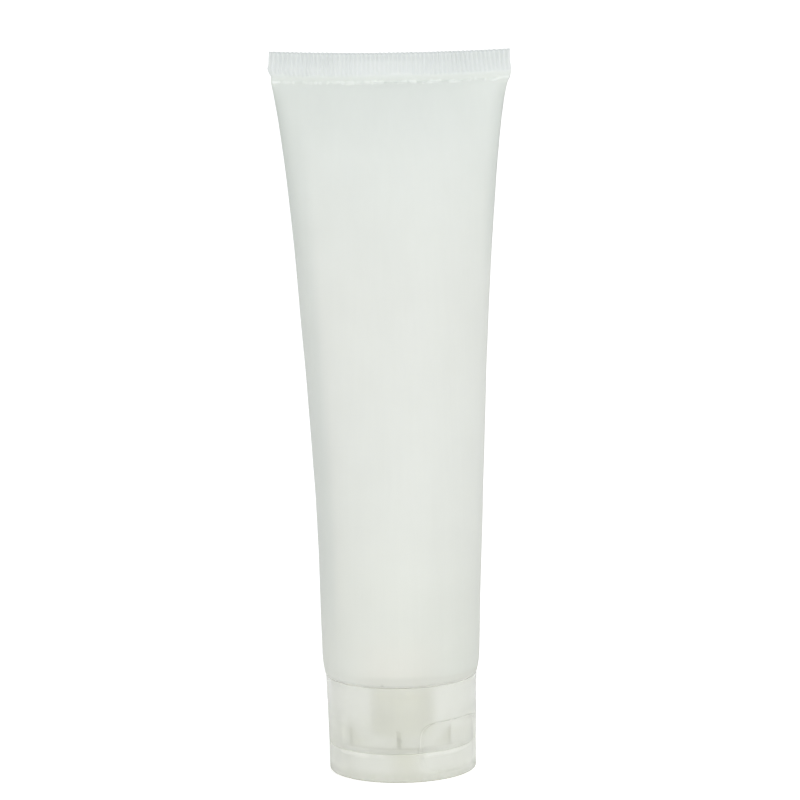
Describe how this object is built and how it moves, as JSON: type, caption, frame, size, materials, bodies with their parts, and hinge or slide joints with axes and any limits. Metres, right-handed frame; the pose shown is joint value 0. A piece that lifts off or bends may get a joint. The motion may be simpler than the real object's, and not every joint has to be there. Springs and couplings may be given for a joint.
{
  "type": "flip-top plastic tube",
  "caption": "Empty frosted plastic squeeze tube with a crimped end, standing on its screw-on flip-top cap with a thumb recess and a living hinge.",
  "frame": {"origin": "on the tube's axis, at the flat outer face of the closed lid that the tube stands on", "axes": "+Z along the axis from the lid to the crimped end, +X along the crimp, -Y towards the front face"},
  "size_m": [0.0532, 0.035, 0.1608],
  "materials": {
    "sleeve_plastic": "frosted translucent polyethylene, soft satin",
    "head_plastic": "satin natural polyethylene",
    "cap_plastic": "natural translucent polypropylene, moulded gloss",
    "lid_plastic": "natural translucent polypropylene, moulded gloss"
  },
  "bodies": {
    "cap": {"cap_base": "cap_plastic"},
    "tube": {"tube_sleeve": "sleeve_plastic", "tube_head": "head_plastic"},
    "lid": {"cap_lid": "lid_plastic"}
  },
  "joints": [
    {"name": "tube_lift", "type": "slide", "parent": "cap", "child": "tube", "axis": [0, 0, 1], "range_m": [0, 0.03]},
    {"name": "lid_hinge", "type": "hinge", "parent": "cap", "child": "lid", "pos_m": [-0.01276, 0.0107, 0.0065], "axis": [0.6428, 0.766, 0], "range_deg": [0, 135]}
  ]
}
